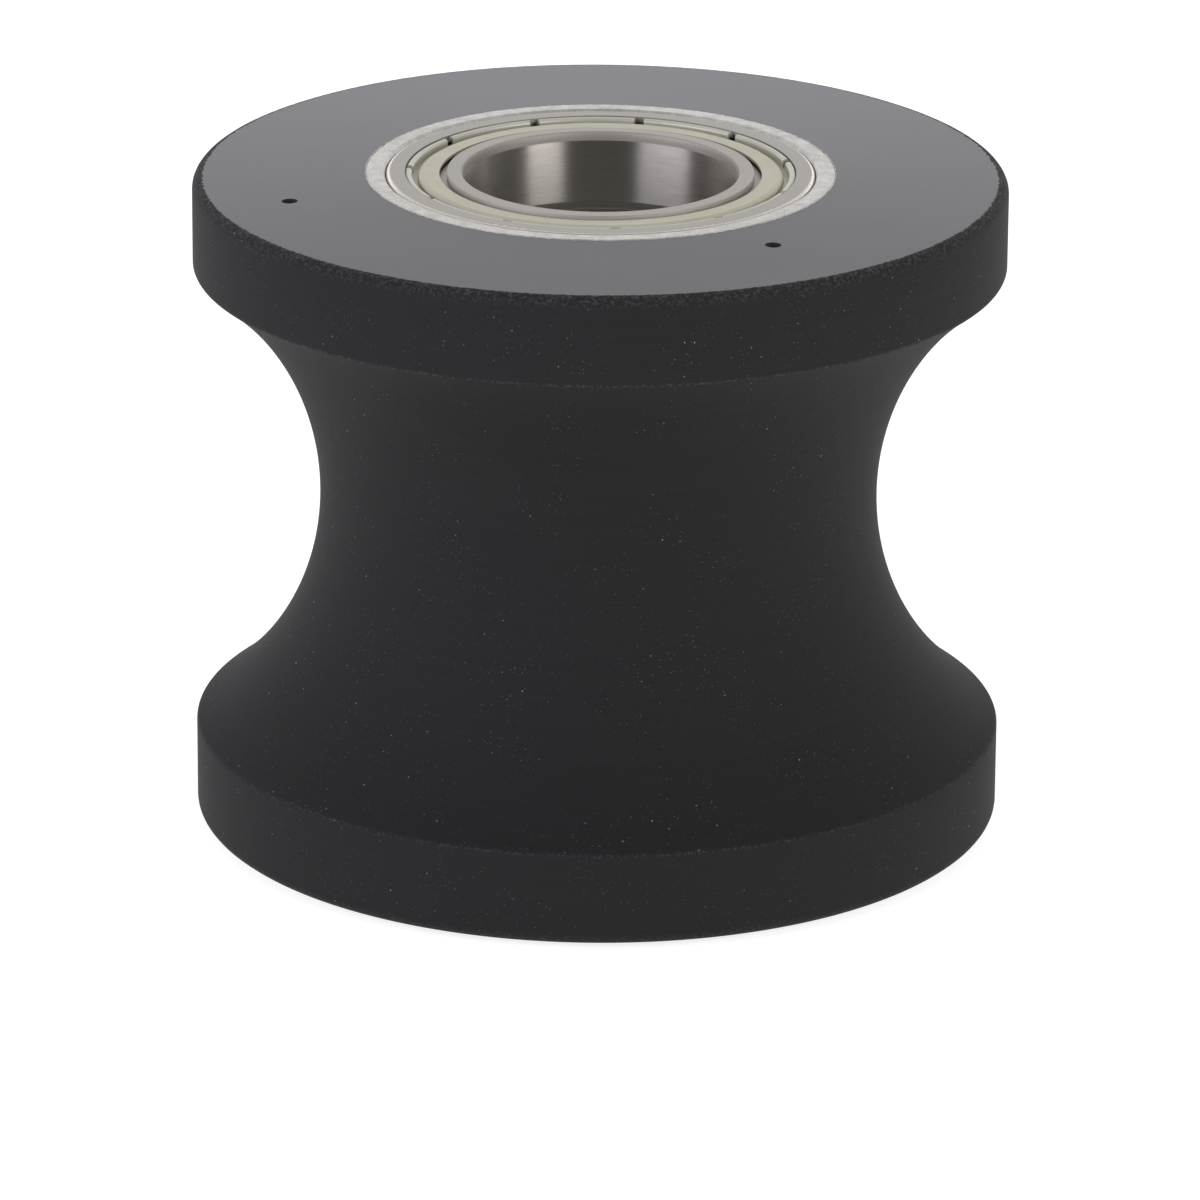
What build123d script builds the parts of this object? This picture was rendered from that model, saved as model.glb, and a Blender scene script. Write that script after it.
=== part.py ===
from build123d import *

import os
from math import acos, degrees, sqrt

# Grooved roller wheel, standing on one end, in millimetres. The wheel's axis is Z and the lower end
# of its sleeve is at Z = 0. A rubber tread is moulded round an aluminium sleeve, and a shielded
# deep-groove ball bearing is pressed into each end of the sleeve.

# Bearing rings and balls
bearing_bore = 30.0
ball_diameter = 4.7625
ball_count = 14
race_wall = 1.84875
race_play = 0.02
race_conformity = 0.52
shoulder_height = 0.75
outer_corner_radial = 0.6
bore_corner_radial = 0.25
corner_axial = 1.0

# Steps of the rings beside the shields
lip_width = 0.42
lip_overhang = 0.35
shelf_below_lip = 0.75
notch_width = 0.87
notch_depth = 0.9

# Pressed shields
shield_sheet = 0.3
shield_bend = 0.05
shield_play = 0.03
shield_depth = 0.25
shield_mouth = 0.85
shield_shoulder_width = 0.5
shield_shoulder_drop = 0.2
channel_width = 0.65
channel_depth = 1.0
curl_flat = 0.03
curl_depth = 0.05
slot_count = 11
slot_width = 1.1
slot_turn = 12.7

# Riveted ribbon cage
cage_sheet = 0.45
cage_side_gap = 0.43
cage_end_gap = 0.24875
pocket_play = 0.12
rivet_diameter = 0.9
rivet_head_diameter = 1.5
rivet_head_height = 0.35
rivet_head_round = 0.28

# Sleeve
sleeve_wall = 2.1
seat_shoulder = 2.0
seat_recess = 0.05
seat_mouth_chamfer = 0.36
seat_corner_round = 0.2
sleeve_edge_chamfer = 0.15

# Rubber tread
tread_diameter = 89.0
neck_rubber = 5.1
groove_radius = 32.0
groove_offset = 0.3
land_width = 9.95
rim_drop = 0.55
rim_round = 1.2
groove_edge_round = 0.4
sleeve_proud = 0.05
vent_diameter = 1.75
vent_depth = 4.0
vent_places = [(35.3, 198.5), (32.0, 305.0)]

# Radii of a bearing, from its bore outwards
bore_radius = bearing_bore / 2
ball_radius = ball_diameter / 2
inner_race_radius = bore_radius + race_wall
pitch_radius = inner_race_radius + race_play + ball_radius
outer_race_radius = pitch_radius + ball_radius + race_play
outside_radius = outer_race_radius + race_wall
race_curve = race_conformity * ball_diameter
inner_shoulder_radius = inner_race_radius + shoulder_height
outer_shoulder_radius = outer_race_radius - shoulder_height
notch_radius = inner_shoulder_radius - notch_width
lip_radius = outer_shoulder_radius + lip_width
groove_floor_radius = lip_radius + lip_overhang
cage_inner_radius = inner_shoulder_radius + cage_side_gap
cage_outer_radius = outer_shoulder_radius - cage_side_gap
ball_step = 360 / ball_count
pocket_radius = ball_radius + pocket_play
pocket_outer_radius = pocket_radius + cage_sheet

# Heights of a bearing, from the plane of its balls to its face
channel_under = pocket_outer_radius + cage_end_gap
face_height = channel_under + shield_sheet + channel_depth
bearing_width = 2 * face_height
bend_radius = shield_sheet / 2 + shield_bend
lip_height = curl_depth + 2 * bend_radius + curl_flat - shield_play
lip_under = face_height - lip_height
shelf_height = lip_under - shelf_below_lip
notch_floor = face_height - notch_depth

# Radii and heights of the wheel
seat_depth = bearing_width + seat_recess
sleeve_radius = outside_radius + sleeve_wall
through_radius = outside_radius - seat_shoulder
neck_radius = sleeve_radius + neck_rubber
tread_radius = tread_diameter / 2
groove_half = sqrt(groove_radius**2 - (groove_radius + neck_radius - tread_radius) ** 2)
groove_top = groove_offset + groove_half
groove_bottom = groove_offset - groove_half
rim_half = groove_half + land_width
sleeve_half = rim_half + rim_drop
tread_half = sleeve_half - sleeve_proud
wheel_length = 2 * sleeve_half


def keep(piece, name):
    """Label one finished piece and write it to its own file."""
    piece.label = name
    export_step(piece, f"parts/{name}.step")


os.makedirs("parts", exist_ok=True)

# Rubber tread: moulded in one piece, waisted by an arc between two straight lands. The arc's middle
# is a little above the wheel's, and the end faces fall a little from the sleeve to the rounded rims.
with BuildPart() as tread:
    with BuildSketch(Plane.XZ):
        with BuildLine():
            bond = Line((sleeve_radius, -tread_half), (sleeve_radius, tread_half))
            upper_end = Line(bond @ 1, (tread_radius, rim_half))
            upper_land = Line(upper_end @ 1, (tread_radius, groove_top))
            neck = (neck_radius, groove_offset)
            groove = ThreePointArc(upper_land @ 1, neck, (tread_radius, groove_bottom))
            lower_land = Line(groove @ 1, (tread_radius, -rim_half))
            Line(lower_land @ 1, bond @ 0)
        make_face()
        groove_edges = vertices().group_by(Axis.X)[-1].sort_by(Axis.Y)[1:-1]
        fillet(groove_edges, radius=groove_edge_round)
        land_ends = vertices().group_by(Axis.X)[-1].sort_by(Axis.Y)
        fillet([land_ends[0], land_ends[-1]], radius=rim_round)
    revolve(axis=Axis.Z)
    # Two round holes that the mould's pins leave in the upper end face
    for radius, angle in vent_places:
        with BuildSketch(Plane.XY.offset(tread_half)):
            with PolarLocations(radius, 1, start_angle=angle):
                Circle(vent_diameter / 2)
        extrude(amount=-vent_depth, mode=Mode.SUBTRACT)
keep(tread.part.moved(Location((0, 0, sleeve_half))), "rubber_tread")

# Sleeve: turned from aluminium tube. Each end is bored for a bearing, whose outer ring stands
# against the shoulder at the bottom of its seat.
with BuildPart() as sleeve:
    with BuildSketch(Plane.XZ):
        with BuildLine():
            Polyline(
                (through_radius, 0),
                (through_radius, sleeve_half - seat_depth),
                (outside_radius, sleeve_half - seat_depth),
                (outside_radius, sleeve_half),
                (sleeve_radius, sleeve_half),
                (sleeve_radius, 0),
                close=True,
            )
        make_face()
        fillet(vertices().group_by(Axis.Y)[1].sort_by(Axis.X)[-1], radius=seat_corner_round)
        end_corners = vertices().group_by(Axis.Y)[-1].sort_by(Axis.X)
        chamfer(end_corners[0], length=seat_mouth_chamfer)
        chamfer(end_corners[-1], length=sleeve_edge_chamfer)
        mirror(about=Plane.XZ)
    revolve(axis=Axis.Z)
keep(sleeve.part.moved(Location((0, 0, sleeve_half))), "hub_sleeve")

# Outer ring of a bearing: ground all over, with a raceway between two shoulders. Each face has an
# undercut lip that holds the foot of a shield.
with BuildPart() as outer_ring:
    with BuildSketch(Plane.XZ):
        with BuildLine():
            race_centre = outer_race_radius - race_curve
            race_angle = degrees(acos((outer_shoulder_radius - race_centre) / race_curve))
            race = CenterArc((race_centre, 0), race_curve, 0, race_angle)
            steps = Polyline(
                race @ 1,
                (outer_shoulder_radius, shelf_height),
                (groove_floor_radius, shelf_height),
                (groove_floor_radius, lip_under),
                (lip_radius, lip_under),
                (lip_radius, face_height),
                (outside_radius - outer_corner_radial, face_height),
            )
            corner = Bezier(
                steps @ 1,
                (outside_radius, face_height),
                (outside_radius, face_height - corner_axial),
            )
            Polyline(corner @ 1, (outside_radius, 0), race @ 0)
        make_face()
        mirror(about=Plane.XZ)
    revolve(axis=Axis.Z)

# Inner ring of a bearing: a raceway between two shoulders, and a notch outside each shoulder that
# a shield's inner edge stands over.
with BuildPart() as inner_ring:
    with BuildSketch(Plane.XZ):
        with BuildLine():
            race_centre = inner_race_radius + race_curve
            race_angle = degrees(acos((race_centre - inner_shoulder_radius) / race_curve))
            race = CenterArc((race_centre, 0), race_curve, 180, -race_angle)
            steps = Polyline(
                race @ 1,
                (inner_shoulder_radius, notch_floor),
                (notch_radius, notch_floor),
                (notch_radius, face_height),
                (bore_radius + bore_corner_radial, face_height),
            )
            corner = Bezier(
                steps @ 1,
                (bore_radius, face_height),
                (bore_radius, face_height - corner_axial),
            )
            Polyline(corner @ 1, (bore_radius, 0), race @ 0)
        make_face()
        mirror(about=Plane.XZ)
    revolve(axis=Axis.Z)

# Shield of a bearing: pressed from thin sheet. A flat ring drops into a channel, rises to a rim
# that curls over at the face, and ends in a foot under the outer ring's lip. Slots across the
# curled rim let it spring into its groove.
sheet_half = shield_sheet / 2
leg_radius = lip_radius - shield_play - sheet_half
rim_radius = leg_radius - 2 * bend_radius - curl_flat
channel_radius = rim_radius - shield_sheet - channel_width
flat_height = face_height - shield_depth - sheet_half
channel_height = face_height - channel_depth - sheet_half
curl_height = face_height - curl_depth - sheet_half
foot_height = lip_under - shield_play - sheet_half
with BuildPart() as shield:
    with BuildSketch(Plane.XZ):
        with BuildLine():
            FilletPolyline(
                (notch_radius + shield_mouth, flat_height),
                (channel_radius - shield_shoulder_width, flat_height),
                (channel_radius, flat_height - shield_shoulder_drop),
                (channel_radius, channel_height),
                (rim_radius, channel_height),
                (rim_radius, curl_height),
                (leg_radius, curl_height),
                (leg_radius, foot_height),
                (groove_floor_radius - shield_play, foot_height),
                radius=bend_radius,
            )
        trace(line_width=shield_sheet)
    revolve(axis=Axis.Z)
    with BuildSketch(Plane.XY.offset(channel_height + bend_radius)):
        with PolarLocations(leg_radius, slot_count, start_angle=slot_turn):
            Rectangle(2 * (leg_radius - rim_radius + shield_sheet), slot_width)
    extrude(amount=face_height, mode=Mode.SUBTRACT)

# Half of a ribbon cage: pressed from strip, with a round pocket for each ball and flat lands
# between them, where rivets hold it to its other half.
with BuildPart() as cage_half:
    with BuildSketch() as strip:
        Circle(cage_outer_radius)
        Circle(cage_inner_radius, mode=Mode.SUBTRACT)
    extrude(amount=cage_sheet)
    with PolarLocations(pitch_radius, ball_count):
        Sphere(pocket_outer_radius)
    extrude(strip.sketch, amount=pocket_outer_radius, mode=Mode.INTERSECT)
    with PolarLocations(pitch_radius, ball_count):
        Sphere(pocket_radius, mode=Mode.SUBTRACT)
    with PolarLocations(pitch_radius, ball_count, start_angle=ball_step / 2):
        Cylinder(rivet_diameter / 2, 2 * pocket_outer_radius, mode=Mode.SUBTRACT)

# Rivets of a cage: one through each pair of lands, with a round head on both sides
with BuildPart() as rivets:
    with PolarLocations(pitch_radius, ball_count, start_angle=ball_step / 2):
        Cylinder(rivet_diameter / 2, 2 * cage_sheet)
    for side in (Plane.XY.offset(cage_sheet), Plane.XY.offset(-cage_sheet).rotated((180, 0, 0))):
        with BuildSketch(side):
            with PolarLocations(pitch_radius, ball_count, start_angle=ball_step / 2):
                Circle(rivet_head_diameter / 2)
        extrude(amount=rivet_head_height)
    head_rims = edges().filter_by(GeomType.CIRCLE).group_by(SortBy.RADIUS)[-1]
    rims = head_rims.filter_by(lambda rim: abs(rim.center().Z) > cage_sheet + rivet_head_height / 2)
    fillet(rims, radius=rivet_head_round)

# Ball: hardened steel, shown at the cage's first pocket
with BuildPart() as ball:
    with Locations((pitch_radius, 0, 0)):
        Sphere(ball_radius)

# Both bearings: the lower one is the upper one turned over. Each is assembled at its seat.
turned_over = Location((0, 0, 0), (180, 0, 0))
bearing_inset = seat_recess + face_height
seats = {
    "upper": Location((0, 0, wheel_length - bearing_inset)),
    "lower": Location((0, 0, bearing_inset), (180, 0, 0)),
}
for end, seat in seats.items():
    keep(outer_ring.part.moved(seat), f"{end}_outer_ring")
    keep(inner_ring.part.moved(seat), f"{end}_inner_ring")
    keep(shield.part.moved(seat), f"{end}_outer_shield")
    keep(shield.part.moved(seat * turned_over), f"{end}_inner_shield")
    keep(cage_half.part.moved(seat), f"{end}_cage_outer_half")
    keep(cage_half.part.moved(seat * turned_over), f"{end}_cage_inner_half")
    keep(rivets.part.moved(seat), f"{end}_cage_rivets")
    for number in range(ball_count):
        pocket = seat * Location((0, 0, 0), (0, 0, number * ball_step))
        keep(ball.part.moved(pocket), f"{end}_ball_{number + 1:02d}")
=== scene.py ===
from math import atan, atan2, cos, pi, radians, sin, sqrt

import bpy
from mathutils import Matrix, Vector


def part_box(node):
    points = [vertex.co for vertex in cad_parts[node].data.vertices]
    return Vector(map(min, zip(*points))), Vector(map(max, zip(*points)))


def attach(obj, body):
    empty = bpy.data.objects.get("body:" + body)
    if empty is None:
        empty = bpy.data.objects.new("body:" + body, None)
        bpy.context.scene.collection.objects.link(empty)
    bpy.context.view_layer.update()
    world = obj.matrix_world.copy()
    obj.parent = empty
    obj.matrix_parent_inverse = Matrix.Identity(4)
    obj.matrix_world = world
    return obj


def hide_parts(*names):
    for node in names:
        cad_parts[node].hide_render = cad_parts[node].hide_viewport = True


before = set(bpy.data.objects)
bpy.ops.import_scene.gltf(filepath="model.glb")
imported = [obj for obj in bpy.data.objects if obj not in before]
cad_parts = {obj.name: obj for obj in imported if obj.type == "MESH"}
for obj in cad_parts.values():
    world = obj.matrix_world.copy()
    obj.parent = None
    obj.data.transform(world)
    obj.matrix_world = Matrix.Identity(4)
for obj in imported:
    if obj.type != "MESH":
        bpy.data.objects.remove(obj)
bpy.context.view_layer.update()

# Rubber tread: compression moulded round the sleeve in one piece, then ground over its running
# surface. The end faces keep the mould's smooth skin and the holes of its two pins.
MM = 0.001
TURN_STEPS = 288
ROUND_STEPS = 6
SMOOTH_BELOW = radians(28)
SAME_PLACE = 0.001 * MM
MERGE_GAP = 0.0005 * MM

tread_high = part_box("rubber_tread")[1]
sleeve_low, sleeve_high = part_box("hub_sleeve")
wheel_length = sleeve_high.z - sleeve_low.z
middle = wheel_length / 2
tread_radius = tread_high.x
sleeve_radius = sleeve_high.x
tread_half = tread_high.z - middle
rim_drop = 0.55 * MM
rim_half = middle - rim_drop
rim_round = 1.2 * MM
neck_radius = 30.7 * MM
groove_radius = 32 * MM
groove_offset = 0.3 * MM
groove_edge_round = 0.3 * MM
groove_steps = 60
pin_hole_diameter = 1.75 * MM
pin_hole_depth = 4 * MM
pin_hole_sides = 32
pin_hole_places = [(35.3 * MM, radians(198.5)), (32 * MM, radians(305))]
level_from = 0.998


def pick(piece, places):
    """In edit mode, select only the vertices that lie at one of these places."""
    bpy.ops.mesh.select_all(action="DESELECT")
    bpy.ops.object.mode_set(mode="OBJECT")
    for vertex in piece.data.vertices:
        vertex.select = any((vertex.co - place).length < SAME_PLACE for place in places)
    bpy.ops.object.mode_set(mode="EDIT")


def turn(name, outline, rounds):
    """Draw a section corner by corner as (radius, height), round some corners and spin it about Z.
    rounds holds pairs: how far the round reaches from its corner, and the corners' numbers."""
    bpy.ops.object.select_all(action="DESELECT")
    bpy.ops.mesh.primitive_plane_add(size=MM, location=(0, 0, 0))
    piece = bpy.context.object
    piece.name = name
    bpy.ops.object.mode_set(mode="EDIT")
    bpy.ops.mesh.select_mode(type="VERT")
    bpy.ops.mesh.merge(type="CENTER")
    corners = [Vector((radius, 0, height)) for radius, height in outline]
    bpy.ops.transform.translate(value=corners[0])
    for start, end in zip(corners, corners[1:] + corners[:1]):
        bpy.ops.mesh.extrude_region_move(TRANSFORM_OT_translate={"value": end - start})
    bpy.ops.mesh.select_all(action="SELECT")
    bpy.ops.mesh.remove_doubles(threshold=MERGE_GAP)
    for reach, numbers in rounds:
        pick(piece, [corners[number] for number in numbers])
        bpy.ops.mesh.bevel(offset=reach, segments=ROUND_STEPS, affect="VERTICES")
    bpy.ops.mesh.select_all(action="SELECT")
    bpy.ops.mesh.spin(steps=TURN_STEPS, angle=2 * pi, center=(0, 0, 0), axis=(0, 0, 1))
    bpy.ops.mesh.select_all(action="SELECT")
    bpy.ops.mesh.remove_doubles(threshold=MERGE_GAP)
    bpy.ops.mesh.normals_make_consistent(inside=False)
    bpy.ops.object.mode_set(mode="OBJECT")
    bpy.ops.object.shade_smooth_by_angle(angle=SMOOTH_BELOW)
    return piece


def cut(piece, cutter):
    """Take a cutter's shape out of a piece, then drop the cutter."""
    bpy.ops.object.select_all(action="DESELECT")
    bpy.context.view_layer.objects.active = piece
    piece.select_set(True)
    boolean = piece.modifiers.new("cut", "BOOLEAN")
    boolean.object = cutter
    boolean.operation = "DIFFERENCE"
    boolean.solver = "EXACT"
    bpy.ops.object.modifier_apply(modifier=boolean.name)
    bpy.data.objects.remove(cutter)


# The outline runs up the bore, out to the rim, down the groove's arc and back along the lower end
arc_centre = neck_radius + groove_radius
groove_half = sqrt(groove_radius**2 - (arc_centre - tread_radius) ** 2)
arc_reach = atan2(groove_half, arc_centre - tread_radius)
arc = [arc_reach * (1 - 2 * number / groove_steps) for number in range(groove_steps + 1)]
tread_outline = [(sleeve_radius, -tread_half), (sleeve_radius, tread_half), (tread_radius, rim_half)]
for turn_by in arc:
    height = groove_offset + groove_radius * sin(turn_by)
    tread_outline.append((arc_centre - groove_radius * cos(turn_by), height))
tread_outline.append((tread_radius, -rim_half))
tread_outline = [(radius, middle + height) for radius, height in tread_outline]
last = len(tread_outline) - 1
tread = turn(
    "tread_rubber",
    tread_outline,
    rounds=[(rim_round, (2, last)), (groove_edge_round, (3, last - 1))],
)
for radius, angle in pin_hole_places:
    bpy.ops.mesh.primitive_cylinder_add(
        vertices=pin_hole_sides,
        radius=pin_hole_diameter / 2,
        depth=2 * pin_hole_depth,
        location=(radius * cos(angle), radius * sin(angle), tread_high.z),
    )
    cut(tread, bpy.context.object)

# The end faces are shaded flat, because smooth shading draws a streak across them to each pin hole
for face in tread.data.polygons:
    if abs(face.normal.z) > level_from:
        face.use_smooth = False
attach(tread, "wheel")
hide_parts("rubber_tread")


def linear(code):
    """Turn an sRGB hex colour to linear red, green and blue."""
    parts = [int(code[place:place + 2], 16) / 255 for place in (1, 3, 5)]
    return [p / 12.92 if p <= 0.04045 else ((p + 0.055) / 1.055) ** 2.4 for p in parts] + [1]


def add(tree, kind, inputs=None, **settings):
    """Add a node with its settings. Each input is a value, or another node's output to link."""
    node = tree.nodes.new(kind)
    for name, value in settings.items():
        setattr(node, name, value)
    for name, value in (inputs or {}).items():
        if isinstance(value, bpy.types.NodeSocket):
            tree.links.new(value, node.inputs[name])
        else:
            node.inputs[name].default_value = value
    return node


NOISE = "ShaderNodeTexNoise"
MATH = "ShaderNodeMath"
VECTOR_MATH = "ShaderNodeVectorMath"
SEPARATE = "ShaderNodeSeparateXYZ"
MAP_RANGE = "ShaderNodeMapRange"
BUMP = "ShaderNodeBump"
MIX = "ShaderNodeMix"
MIX_FACTOR, MIX_A, MIX_B, MIX_RESULT = 0, 6, 7, 2
IN_PLAN = (1, 1, 0)


def material(name):
    """Start a material: the material, its node tree, its surface shader and the place on the object."""
    made = bpy.data.materials.new(name)
    made.use_nodes = True
    tree = made.node_tree
    return made, tree, tree.nodes["Principled BSDF"], add(tree, "ShaderNodeTexCoord").outputs["Object"]


def coat(piece, *made):
    """Give a piece these materials alone. All its faces have the first, until they are given another."""
    piece.data.materials.clear()
    for each in made:
        piece.data.materials.append(each)


# Rubber filled with carbon black. The mould leaves a satin grey-black skin on the end faces. Grinding
# takes the skin off all the rest, up to a ragged line round the rims, and leaves it dull and near
# black, with faint turning lines and light specks of filler and dust.
skin_edge = tread_radius - 0.65 * MM
skin_edge_blend = 0.08 * MM
skin_edge_ragged_by = 0.9 * MM
skin_from_height = groove_half + 3 * MM
rubber, tree, shader, place = material("moulded_and_ground_rubber")
spot = add(tree, SEPARATE, {"Vector": place}).outputs
across = add(tree, VECTOR_MATH, {0: place, 1: IN_PLAN}, operation="MULTIPLY").outputs[0]
radius = add(tree, VECTOR_MATH, {0: across}, operation="LENGTH").outputs["Value"]
ragged = add(tree, NOISE, {"Vector": place, "Scale": 1 / (0.5 * MM), "Detail": 5}).outputs[0]
reach = add(
    tree,
    MATH,
    {0: ragged, 1: skin_edge_ragged_by, 2: radius},
    operation="MULTIPLY_ADD",
).outputs[0]
inside = add(
    tree,
    MAP_RANGE,
    {"Value": reach, "From Min": skin_edge, "From Max": skin_edge - skin_edge_blend},
).outputs[0]
rise = add(tree, MATH, {0: spot["Z"], 1: middle}, operation="SUBTRACT").outputs[0]
away = add(tree, MATH, {0: rise}, operation="ABSOLUTE").outputs[0]
at_end = add(tree, MATH, {0: away, 1: skin_from_height}, operation="GREATER_THAN").outputs[0]
skin = add(tree, MATH, {0: inside, 1: at_end}, operation="MULTIPLY").outputs[0]
ground = add(tree, MATH, {0: 1.0, 1: skin}, operation="SUBTRACT").outputs[0]

# Turning lines: 20 mm long, and 2.6 to a millimetre up the wheel, which is coarser than real
line_stretch = (0.05 / MM, 0.05 / MM, 2.6 / MM)
lines_place = add(tree, VECTOR_MATH, {0: place, 1: line_stretch}, operation="MULTIPLY").outputs[0]
lines = add(tree, NOISE, {"Vector": lines_place, "Scale": 1, "Detail": 3}).outputs[0]
lined = add(
    tree,
    MIX,
    {MIX_FACTOR: lines, MIX_A: linear("#0a0a0c"), MIX_B: linear("#141416")},
    data_type="RGBA",
).outputs[MIX_RESULT]
cloudy = add(tree, NOISE, {"Vector": place, "Scale": 1 / (9 * MM), "Detail": 5}).outputs[0]
moulded = add(
    tree,
    MIX,
    {MIX_FACTOR: cloudy, MIX_A: linear("#303031"), MIX_B: linear("#3e3c3f")},
    data_type="RGBA",
).outputs[MIX_RESULT]
plain = add(
    tree,
    MIX,
    {MIX_FACTOR: skin, MIX_A: lined, MIX_B: moulded},
    data_type="RGBA",
).outputs[MIX_RESULT]

# Specks: a sparse layer and a fine one, by spacing, size, the share of cells left bare, and colour.
# They gather in patches and are drawn a little coarser than real.
drift = add(tree, NOISE, {"Vector": place, "Scale": 1 / (7 * MM), "Detail": 3}).outputs[0]
patchy = add(tree, MAP_RANGE, {"Value": drift, "From Min": 0.4, "From Max": 0.64}).outputs[0]
speck_core = 0.4
whitened = plain
for spacing, size, bare, code in (
    (1.0 * MM, 0.09 * MM, 0.5, "#cacacc"),
    (0.4 * MM, 0.055 * MM, 0.1, "#8e8e92"),
):
    cells = add(tree, "ShaderNodeTexVoronoi", {"Vector": place, "Scale": 1 / spacing}).outputs
    rim = size / spacing
    near = add(
        tree,
        MAP_RANGE,
        {"Value": cells["Distance"], "From Min": rim, "From Max": speck_core * rim},
    ).outputs[0]
    chance = add(tree, "ShaderNodeSeparateColor", {"Color": cells["Color"]}).outputs["Red"]
    some = add(tree, MAP_RANGE, {"Value": chance, "From Min": bare, "From Max": 1.0}).outputs[0]
    speck = add(tree, MATH, {0: near, 1: some}, operation="MULTIPLY").outputs[0]
    thinned = add(tree, MATH, {0: speck, 1: patchy}, operation="MULTIPLY").outputs[0]
    shown = add(tree, MATH, {0: thinned, 1: ground}, operation="MULTIPLY").outputs[0]
    whitened = add(
        tree,
        MIX,
        {MIX_FACTOR: shown, MIX_A: whitened, MIX_B: linear(code)},
        data_type="RGBA",
    ).outputs[MIX_RESULT]

# The groove's two edges are drawn a little lighter in specks, the upper one lighter than the lower, and
# so are the rims where their skin was ground off. Each has its height from the wheel's middle, how far
# it fades up and down, and its colour.
rim_grain = add(tree, NOISE, {"Vector": place, "Scale": 1 / (0.35 * MM), "Detail": 5}).outputs[0]
rim_specks = add(tree, MAP_RANGE, {"Value": rim_grain, "From Min": 0.46, "From Max": 0.74}).outputs[0]
edges_lightened = whitened
for height, width, code in (
    (groove_offset + groove_half, 0.3 * MM, "#4a4a4c"),
    (groove_offset - groove_half, 0.25 * MM, "#3a3a3d"),
    (rim_half, 1.3 * MM, "#4a4848"),
    (-rim_half, 1.3 * MM, "#4a4848"),
):
    beside = add(tree, MATH, {0: rise, 1: height}, operation="SUBTRACT").outputs[0]
    apart = add(tree, MATH, {0: beside}, operation="ABSOLUTE").outputs[0]
    close = add(tree, MAP_RANGE, {"Value": apart, "From Min": width, "From Max": 0.0}).outputs[0]
    lightened_specks = add(tree, MATH, {0: close, 1: rim_specks}, operation="MULTIPLY").outputs[0]
    on_ground = add(tree, MATH, {0: lightened_specks, 1: ground}, operation="MULTIPLY").outputs[0]
    edges_lightened = add(
        tree,
        MIX,
        {MIX_FACTOR: on_ground, MIX_A: edges_lightened, MIX_B: linear(code)},
        data_type="RGBA",
    ).outputs[MIX_RESULT]

# A burr of aluminium from turning the sleeve lies over the rubber beside it, up to a ragged line
burr_edge = sleeve_radius - 0.11 * MM
burr_edge_blend = 0.06 * MM
burr_ragged_by = 0.35 * MM
crumbs = add(tree, NOISE, {"Vector": place, "Scale": 1 / (0.5 * MM), "Detail": 4}).outputs[0]
spread = add(
    tree,
    MATH,
    {0: crumbs, 1: -burr_ragged_by, 2: radius},
    operation="MULTIPLY_ADD",
).outputs[0]
burr = add(
    tree,
    MAP_RANGE,
    {"Value": spread, "From Min": burr_edge, "From Max": burr_edge - burr_edge_blend},
).outputs[0]
surface = add(
    tree,
    MIX,
    {MIX_FACTOR: burr, MIX_A: edges_lightened, MIX_B: linear("#dad9d7")},
    data_type="RGBA",
).outputs[MIX_RESULT]
tree.links.new(burr, shader.inputs["Metallic"])
tree.links.new(surface, shader.inputs["Base Color"])
rough = add(tree, MAP_RANGE, {"Value": skin, "To Min": 0.84, "To Max": 0.37}).outputs[0]
tree.links.new(rough, shader.inputs["Roughness"])
shader.inputs["IOR"].default_value = 1.45
grain = add(tree, NOISE, {"Vector": place, "Scale": 1 / (0.3 * MM), "Detail": 4}).outputs[0]
tooth = add(tree, MAP_RANGE, {"Value": skin, "To Min": 0.5, "To Max": 0.14}).outputs[0]
relief = add(tree, MATH, {0: grain, 1: tooth}, operation="MULTIPLY").outputs[0]
bump = add(tree, BUMP, {"Height": relief, "Strength": 0.4, "Distance": 0.04 * MM})
tree.links.new(bump.outputs[0], shader.inputs["Normal"])
coat(tread, rubber)

# Sleeve: turned from aluminium tube and bonded into the rubber. The turned end shows beside the
# bearing as a pale matte ring, finely pitted.
aluminium, tree, shader, place = material("turned_aluminium")
pits = add(tree, NOISE, {"Vector": place, "Scale": 1 / (0.28 * MM), "Detail": 4}).outputs[0]
patches = add(tree, NOISE, {"Vector": place, "Scale": 1 / (1.2 * MM), "Detail": 4}).outputs[0]
mixed = add(tree, MATH, {0: pits, 1: patches}, operation="ADD").outputs[0]
level = add(tree, MAP_RANGE, {"Value": mixed, "From Min": 0.75, "From Max": 1.2}).outputs[0]
dull = add(
    tree,
    MIX,
    {MIX_FACTOR: level, MIX_A: linear("#bab8b3"), MIX_B: linear("#d8d6d1")},
    data_type="RGBA",
).outputs[MIX_RESULT]
tree.links.new(dull, shader.inputs["Base Color"])
shader.inputs["Metallic"].default_value = 1
rough = add(tree, MAP_RANGE, {"Value": pits, "To Min": 0.45, "To Max": 0.65}).outputs[0]
tree.links.new(rough, shader.inputs["Roughness"])
bump = add(tree, BUMP, {"Height": pits, "Strength": 0.6, "Distance": 0.05 * MM})
tree.links.new(bump.outputs[0], shader.inputs["Normal"])
coat(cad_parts["hub_sleeve"], aluminium)

# Bearing rings: hardened chromium steel, its faces ground to a fine satin. The bore is honed, and its
# lines run round it and draw each lamp out into an upright band. The step beside the shield and the
# bore's mouth are only turned, and the outer rounds are polished. Lines are drawn coarser than real.
ring_radius = 23.5 * MM
ring_corner = 0.61 * MM
bore_radius = 15 * MM
bore_corner = 0.26 * MM
mouth_depth = 2 * MM
step_radius = 16.7287 * MM
step_play = 0.01 * MM
upright_below = 0.01
level_above = 0.99
line_pitch = 0.12 * MM
slow_stretch = (0.35 / MM, 0.35 / MM, 0)


def radius_range(piece, face):
    """The smallest and the largest distance of a face's corners from the axis."""
    radii = [piece.data.vertices[number].co.xy.length for number in face.vertices]
    return min(radii), max(radii)


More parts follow.
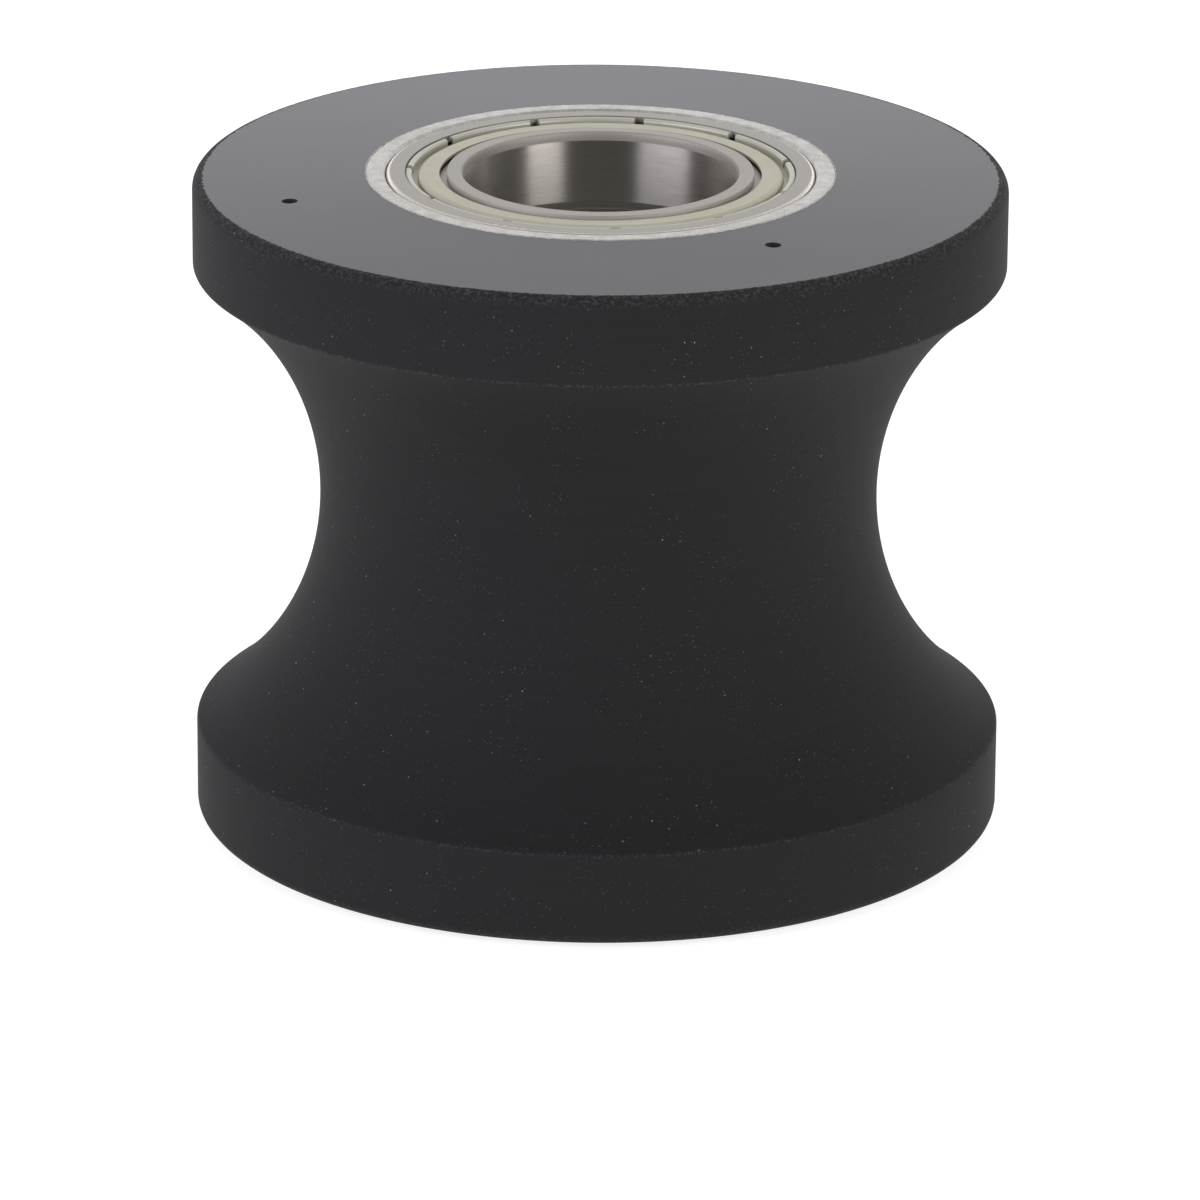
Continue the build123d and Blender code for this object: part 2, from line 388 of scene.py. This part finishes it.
# Each finish: its name, its darker and lighter colours, its lower and upper roughness, and how far
# its lines draw a reflection out
faces_finish = ("ground_steel_faces", "#9d9992", "#b4b0a9", 0.46, 0.58, 0.0)
bore_finish = ("honed_steel_bore", "#a59f99", "#cac4be", 0.34, 0.45, 1.0)
step_finish = ("turned_steel_step", "#c6c1b9", "#dcd7cf", 0.6, 0.75, 0.0)
rounds_finish = ("polished_steel_rounds", "#c6c1b9", "#dcd7cf", 0.22, 0.32, 0.0)
mouth_finish = ("turned_steel_mouth", "#a9a49d", "#bcb7b0", 0.6, 0.75, 0.0)
ring_steels = []
for name, dark, light, smooth, coarse, drawn in (
    faces_finish,
    bore_finish,
    step_finish,
    rounds_finish,
    mouth_finish,
):
    steel, tree, shader, place = material(name)
    spot = add(tree, SEPARATE, {"Vector": place}).outputs
    across = add(tree, VECTOR_MATH, {0: place, 1: IN_PLAN}, operation="MULTIPLY").outputs[0]
    radius = add(tree, VECTOR_MATH, {0: across}, operation="LENGTH").outputs["Value"]
    along = add(tree, MATH, {0: radius, 1: spot["Z"]}, operation="ADD").outputs[0]
    pitch = add(tree, MATH, {0: along, 1: 1 / line_pitch}, operation="MULTIPLY").outputs[0]
    slow = add(tree, VECTOR_MATH, {0: place, 1: slow_stretch}, operation="MULTIPLY").outputs[0]
    slow_spot = add(tree, SEPARATE, {"Vector": slow}).outputs
    line_at = add(
        tree,
        "ShaderNodeCombineXYZ",
        {"X": slow_spot["X"], "Y": slow_spot["Y"], "Z": pitch},
    ).outputs[0]
    lines = add(tree, NOISE, {"Vector": line_at, "Scale": 1, "Detail": 3}).outputs[0]
    tone = add(
        tree,
        MIX,
        {MIX_FACTOR: lines, MIX_A: linear(dark), MIX_B: linear(light)},
        data_type="RGBA",
    ).outputs[MIX_RESULT]
    tree.links.new(tone, shader.inputs["Base Color"])
    shader.inputs["Metallic"].default_value = 1
    rough = add(tree, MAP_RANGE, {"Value": lines, "To Min": smooth, "To Max": coarse}).outputs[0]
    tree.links.new(rough, shader.inputs["Roughness"])
    bump = add(tree, BUMP, {"Height": lines, "Strength": 0.3, "Distance": 0.01 * MM})
    tree.links.new(bump.outputs[0], shader.inputs["Normal"])
    if drawn:
        shader.inputs["Anisotropic"].default_value = drawn
        shader.inputs["Anisotropic Rotation"].default_value = 0.25
        round_axis = add(tree, "ShaderNodeTangent", direction_type="RADIAL", axis="Z").outputs[0]
        tree.links.new(round_axis, shader.inputs["Tangent"])
    ring_steels.append(steel)
faces_steel, bore_steel, step_steel, rounds_steel, mouth_steel = ring_steels

OUTER_ROUNDS = 1
INNER_BORE, INNER_STEP, INNER_MOUTH = 1, 2, 3
for end in ("upper", "lower"):
    outer_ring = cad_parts[f"{end}_outer_ring"]
    coat(outer_ring, faces_steel, rounds_steel)
    for face in outer_ring.data.polygons:
        in_corner = radius_range(outer_ring, face)[0] > ring_radius - ring_corner
        if in_corner and upright_below < abs(face.normal.z) < level_above:
            face.material_index = OUTER_ROUNDS
    inner_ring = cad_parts[f"{end}_inner_ring"]
    coat(inner_ring, faces_steel, bore_steel, step_steel, mouth_steel)
    for face in inner_ring.data.polygons:
        low, high = radius_range(inner_ring, face)
        in_corner = high < bore_radius + bore_corner
        at_mouth = abs(face.center.z - middle) > middle - mouth_depth
        if high < bore_radius + SAME_PLACE:
            face.material_index = INNER_BORE
        elif in_corner and at_mouth and abs(face.normal.z) < level_above:
            face.material_index = INNER_MOUTH
        elif low > step_radius - step_play and high < step_radius + step_play:
            face.material_index = INNER_STEP

# Bearing shields: pressed from thin steel sheet, zinc plated and passivated. The passivation gives a
# pale straw colour that drifts a little over the surface. The curled edge is painted paler, as painted
# light that lifts the shade lying on it.
curl_from = 20.2 * MM
curl_full = 20.7 * MM
plated, tree, shader, place = material("passivated_zinc_plate")
drift = add(tree, NOISE, {"Vector": place, "Scale": 1 / (3 * MM), "Detail": 4}).outputs[0]
straw = add(
    tree,
    MIX,
    {MIX_FACTOR: drift, MIX_A: linear("#b0ac94"), MIX_B: linear("#c4c2b0")},
    data_type="RGBA",
).outputs[MIX_RESULT]
across = add(tree, VECTOR_MATH, {0: place, 1: IN_PLAN}, operation="MULTIPLY").outputs[0]
radius = add(tree, VECTOR_MATH, {0: across}, operation="LENGTH").outputs["Value"]
# Painted light: the curled edge is painted paler, to lift the shade that lies on it
curl_painted_light = add(tree, MAP_RANGE, {"Value": radius, "From Min": curl_from, "From Max": curl_full}).outputs[0]
straw_and_painted_light = add(
    tree,
    MIX,
    {MIX_FACTOR: curl_painted_light, MIX_A: straw, MIX_B: linear("#c6c4ba")},
    data_type="RGBA",
).outputs[MIX_RESULT]
tree.links.new(straw_and_painted_light, shader.inputs["Base Color"])
shader.inputs["Metallic"].default_value = 0.45
fine = add(tree, NOISE, {"Vector": place, "Scale": 1 / (0.2 * MM), "Detail": 3}).outputs[0]
rough = add(tree, MAP_RANGE, {"Value": fine, "To Min": 0.42, "To Max": 0.56}).outputs[0]
tree.links.new(rough, shader.inputs["Roughness"])
bump = add(tree, BUMP, {"Height": fine, "Strength": 0.2, "Distance": 0.02 * MM})
tree.links.new(bump.outputs[0], shader.inputs["Normal"])
for end in ("upper", "lower"):
    coat(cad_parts[f"{end}_outer_shield"], plated)
    coat(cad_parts[f"{end}_inner_shield"], plated)

# Cages and their rivets: pressed from bright steel strip and tumbled, so they are satin with small
# random marks.
strip, tree, shader, place = material("tumbled_steel_strip")
marks = add(tree, NOISE, {"Vector": place, "Scale": 1 / (0.4 * MM), "Detail": 4}).outputs[0]
tone = add(
    tree,
    MIX,
    {MIX_FACTOR: marks, MIX_A: linear("#a9a8a6"), MIX_B: linear("#c6c6c6")},
    data_type="RGBA",
).outputs[MIX_RESULT]
tree.links.new(tone, shader.inputs["Base Color"])
shader.inputs["Metallic"].default_value = 1
rough = add(tree, MAP_RANGE, {"Value": marks, "To Min": 0.32, "To Max": 0.5}).outputs[0]
tree.links.new(rough, shader.inputs["Roughness"])
for end in ("upper", "lower"):
    for part in ("cage_outer_half", "cage_inner_half", "cage_rivets"):
        coat(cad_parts[f"{end}_{part}"], strip)

# Balls: hardened chromium steel, lapped to a mirror, with a thin uneven film of grease.
lapped, tree, shader, place = material("lapped_bearing_steel")
film = add(tree, NOISE, {"Vector": place, "Scale": 1 / (1.5 * MM), "Detail": 2}).outputs[0]
shader.inputs["Base Color"].default_value = linear("#cfcfd1")
shader.inputs["Metallic"].default_value = 1
rough = add(tree, MAP_RANGE, {"Value": film, "To Min": 0.05, "To Max": 0.16}).outputs[0]
tree.links.new(rough, shader.inputs["Roughness"])
for name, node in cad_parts.items():
    if "_ball_" in name:
        coat(node, lapped)

# Camera: it looks at the wheel from the front and 19 degrees above, from 0.94 m, through a long
# lens. The wheel's middle stands above the frame's middle, and the picture is turned by 0.4 degrees.
view_distance = 936.2 * MM
view_pitch = radians(18.92)
picture_side = 1200
focal_pixels = 8480
middle_right = -2.3
middle_down = -109.8
picture_turn = radians(0.392)
sensor_width = 36
bpy.ops.object.camera_add()
camera = bpy.context.object
camera.data.sensor_width = sensor_width
camera.data.lens = sensor_width * focal_pixels / picture_side
camera.location = (0, -view_distance * cos(view_pitch), middle + view_distance * sin(view_pitch))
look = Matrix.Rotation(pi / 2 - view_pitch, 4, "X")
look @= Matrix.Rotation(atan(middle_right / focal_pixels), 4, "Y")
look @= Matrix.Rotation(atan(middle_down / focal_pixels), 4, "X")
look @= Matrix.Rotation(picture_turn, 4, "Z")
camera.rotation_euler = look.to_euler()
bpy.context.scene.camera = camera

# Floor: plain and pale. The camera and reflections see it white, with a faint shadow. It lies just
# under the wheel, so that it doesn't share a plane with the sleeve's lower end.
floor_side = 6
floor_drop = 0.01 * MM
bpy.ops.object.select_all(action="DESELECT")
bpy.ops.mesh.primitive_plane_add(size=floor_side, location=(0, 0, -floor_drop))
floor = bpy.context.object
floor.name = "floor"
pale, tree, shader = material("pale_floor")[:3]
shader.inputs["Base Color"].default_value = (0.8, 0.8, 0.8, 1)
shader.inputs["Roughness"].default_value = 1
rays = add(tree, "ShaderNodeLightPath").outputs
seen = add(
    tree,
    MATH,
    {0: rays["Is Camera Ray"], 1: rays["Is Glossy Ray"]},
    operation="MAXIMUM",
).outputs[0]
seen = add(tree, MATH, {0: seen, 1: rays["Is Transmission Ray"]}, operation="MAXIMUM").outputs[0]
glow = add(tree, "ShaderNodeEmission", {"Strength": 0.8}).outputs[0]
matte = add(tree, "ShaderNodeBsdfDiffuse", {"Color": (0.48, 0.48, 0.48, 1)}).outputs[0]
white = add(tree, "ShaderNodeAddShader", {0: glow, 1: matte}).outputs[0]
mixed = add(tree, "ShaderNodeMixShader", {0: seen, 1: shader.outputs[0], 2: white}).outputs[0]
tree.links.new(mixed, tree.nodes["Material Output"].inputs["Surface"])
coat(floor, pale)

# Studio: white behind the wheel and dimmer in front, where the camera stands, and a little brighter
# overhead. The camera itself sees white all round.
bpy.context.scene.view_settings.view_transform = "Standard"
world = bpy.data.worlds.new("studio")
bpy.context.scene.world = world
world.use_nodes = True
tree = world.node_tree
direction = add(tree, "ShaderNodeTexCoord").outputs["Generated"]
toward = add(tree, SEPARATE, {"Vector": direction}).outputs
level = add(
    tree,
    MAP_RANGE,
    {"Value": toward["Y"], "From Min": -0.5, "From Max": 0.7, "To Min": 0.07, "To Max": 0.8},
).outputs[0]
overhead = add(
    tree,
    MAP_RANGE,
    {"Value": toward["Z"], "From Min": 0.3, "From Max": 0.8, "To Min": 1.0, "To Max": 1.25},
).outputs[0]
level = add(tree, MATH, {0: level, 1: overhead}, operation="MULTIPLY").outputs[0]
rays = add(tree, "ShaderNodeLightPath").outputs
strength = add(tree, MATH, {0: level, 1: rays["Is Camera Ray"]}, operation="MAXIMUM").outputs[0]
tree.links.new(strength, tree.nodes["Background"].inputs["Strength"])
tree.nodes["Background"].inputs["Color"].default_value = (1, 1, 1, 1)

# Lamps: a soft box on each side in front, and a long low one behind that gives the end face its
# sheen. Each has its bearing in degrees, which is counted from the camera's side to the left, then
# its height, its distance, its width and its tallness in metres, its watts and its colour.
for name, bearing, height, away, width, tall, power, code in (
    ("left_soft_box", 57, 0.34, 0.8, 0.72, 0.5, 4.6, "#f4f4ff"),
    ("right_soft_box", -49, 0.34, 0.8, 0.46, 0.5, 3.6, "#ffffff"),
    ("back_strip", 180, 0.14, 0.42, 1.0, 0.16, 0.46, "#f6f2ff"),
):
    across_x = -away * sin(radians(bearing))
    across_y = -away * cos(radians(bearing))
    bpy.ops.object.light_add(type="AREA", location=(across_x, across_y, height))
    lamp = bpy.context.object
    lamp.name = name
    lamp.data.shape = "RECTANGLE"
    lamp.data.size = width
    lamp.data.size_y = tall
    lamp.data.energy = power
    lamp.data.color = linear(code)[:3]
    aim = Vector((0, 0, wheel_length)) - lamp.location
    lamp.rotation_euler = aim.to_track_quat("-Z", "Y").to_euler()
    lamp.visible_camera = False
